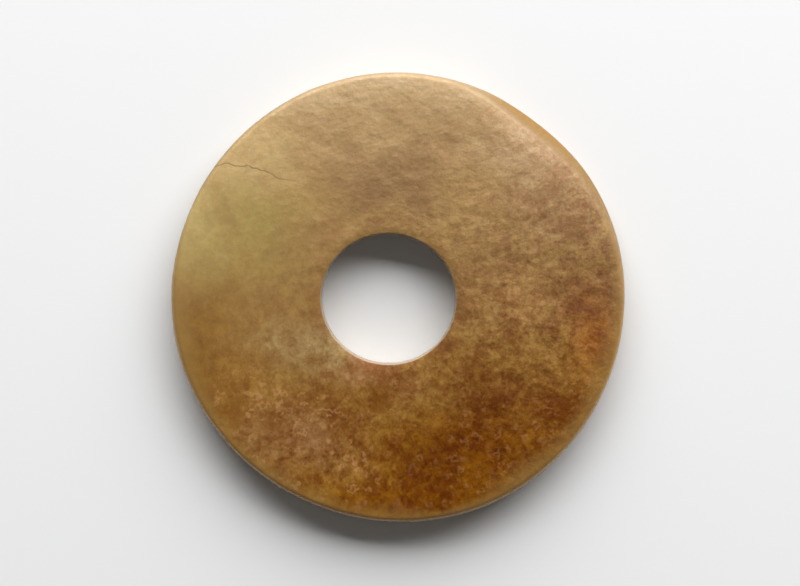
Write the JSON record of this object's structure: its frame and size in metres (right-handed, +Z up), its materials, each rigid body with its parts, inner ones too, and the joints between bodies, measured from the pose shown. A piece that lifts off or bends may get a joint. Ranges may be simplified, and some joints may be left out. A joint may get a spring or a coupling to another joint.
{
  "type": "jade bi disc",
  "caption": "Plain flat stone ring, a hand-ground jade bi disc with soft edges, one rubbed and leaning stretch of rim, and a round central hole.",
  "frame": {"origin": "middle of the disc's outline, on the surface that it lies on", "axes": "+Z up through the thickness, out of the upper face; the rubbed, leaning stretch of rim is towards +X and +Y, and the hairline crack towards -X and +Y"},
  "size_m": [0.1606, 0.1596, 0.012],
  "materials": {
    "jade": "honey to russet brown nephrite, waxy satin polish worn matt, cloudy, with pale flecks and fine pits"
  },
  "bodies": {
    "root": {"jade_disc": "jade"}
  },
  "joints": []
}
